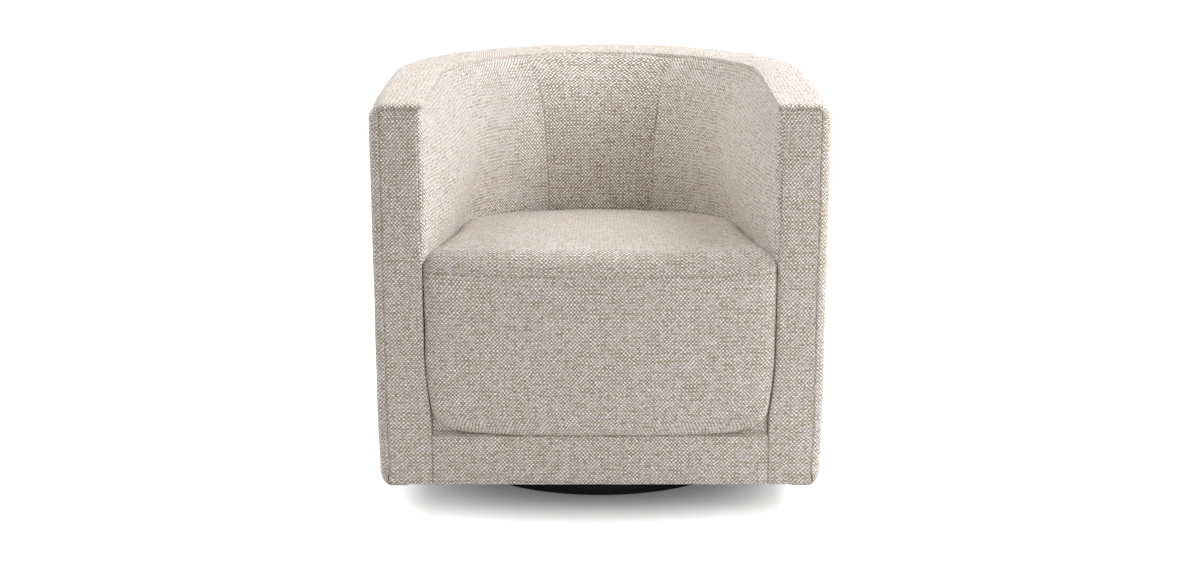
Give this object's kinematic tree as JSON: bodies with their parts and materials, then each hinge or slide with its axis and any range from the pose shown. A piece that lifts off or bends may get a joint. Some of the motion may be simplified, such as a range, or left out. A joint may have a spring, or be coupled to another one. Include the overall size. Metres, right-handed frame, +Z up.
{
  "type": "swivel tub chair",
  "caption": "Upholstered swivel tub chair: a padded drum with a half-round back and swelling inside arms, a boxed seat and a low round turning base.",
  "frame": {"origin": "on the floor, on the swivel axis", "axes": "+Z up, the chair faces -Y, +X to the right of someone who looks at its front"},
  "size_m": [0.78, 0.796, 0.735],
  "materials": {
    "cover_cloth": "woven",
    "padding": "soft",
    "felt": "matt",
    "timber": "bare",
    "board": "matt",
    "webbing": "woven",
    "lining_cloth": "matt",
    "painted_disc": "satin black",
    "steel": "zinc",
    "plastic": "matt"
  },
  "bodies": {
    "base": {"floor_glides": "plastic", "base_disc": "painted_disc", "lower_swivel_plate": "steel", "lower_plate_screws": "steel", "swivel_kingpin": "steel"},
    "bearing": {"roller_cage": "plastic", "bearing_rollers": "steel"},
    "chair": {"top_band_cover": "cover_cloth", "arm_front_cover_right": "cover_cloth", "arm_front_cover_left": "cover_cloth", "outside_arm_cover_right": "cover_cloth", "outside_arm_cover_left": "cover_cloth", "outside_back_cover": "cover_cloth", "front_rail_cover": "cover_cloth", "inside_arm_cushion_right": "cover_cloth", "inside_arm_cushion_left": "cover_cloth", "inside_back_cushion": "cover_cloth", "seat_top_cover": "cover_cloth", "seat_front_cover": "cover_cloth", "rim_padding": "padding", "arm_front_pad_right": "padding", "arm_front_pad_left": "padding", "front_rail_pad": "padding", "seat_foam": "padding", "seat_deck_pad": "felt", "bottom_hoop": "timber", "seat_hoop": "timber", "top_hoop": "timber", "front_bottom_rail": "timber", "front_seat_rail": "timber", "right_arm_post": "timber", "left_arm_post": "timber", "back_posts": "timber", "swivel_cross_rails": "timber", "corner_blocks": "timber", "outer_board": "board", "seat_webbing_long": "webbing", "seat_webbing_cross": "webbing", "back_webbing": "webbing", "dust_cover": "lining_cloth", "upper_swivel_plate": "steel", "upper_plate_screws": "steel"}
  },
  "joints": [
    {"name": "seat_swivel", "type": "hinge", "parent": "base", "child": "chair", "pos_m": [0, 0, 0], "axis": [0, 0, 1], "continuous": true},
    {"name": "roller_ring_turn", "type": "hinge", "parent": "base", "child": "bearing", "pos_m": [0, 0, 0.04465], "axis": [0, 0, 1], "continuous": true}
  ],
  "couplings": [
    {"joint": "roller_ring_turn", "follows": "seat_swivel", "ratio": 0.5}
  ]
}
